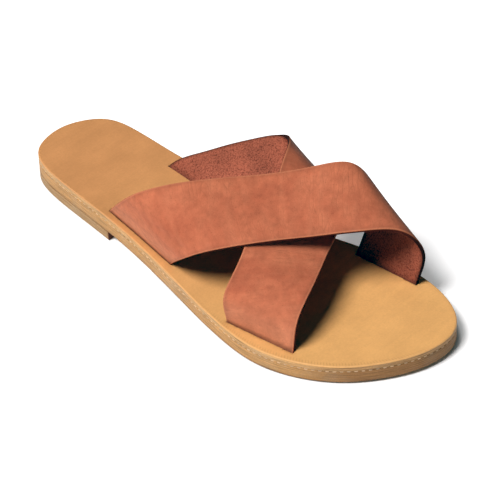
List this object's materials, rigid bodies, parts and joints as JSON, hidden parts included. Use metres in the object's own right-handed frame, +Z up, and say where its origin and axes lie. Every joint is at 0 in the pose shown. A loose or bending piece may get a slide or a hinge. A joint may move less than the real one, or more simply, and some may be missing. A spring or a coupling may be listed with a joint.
{
  "type": "flat sandal",
  "caption": "Flat leather slide sandal for the right foot, with a layered leather sole, a low heel lift and two wide straps that cross over the foot.",
  "frame": {"origin": "centre of the sandal's box, on the floor it stands on", "axes": "+Y toward the toe, +X toward the outer (lateral) side of the right foot, +Z up"},
  "size_m": [0.103, 0.25, 0.0622],
  "materials": {
    "strap_leather": "matt terracotta nubuck leather with a rough inner side",
    "insole_leather": "smooth natural tan leather",
    "outsole_leather": "cut and burnished tan leather edge",
    "heel_lift_leather": "darker stacked leather"
  },
  "bodies": {
    "root": {"upper": "strap_leather", "insole": "insole_leather", "outsole": "outsole_leather", "heel_lift": "heel_lift_leather"}
  },
  "joints": []
}
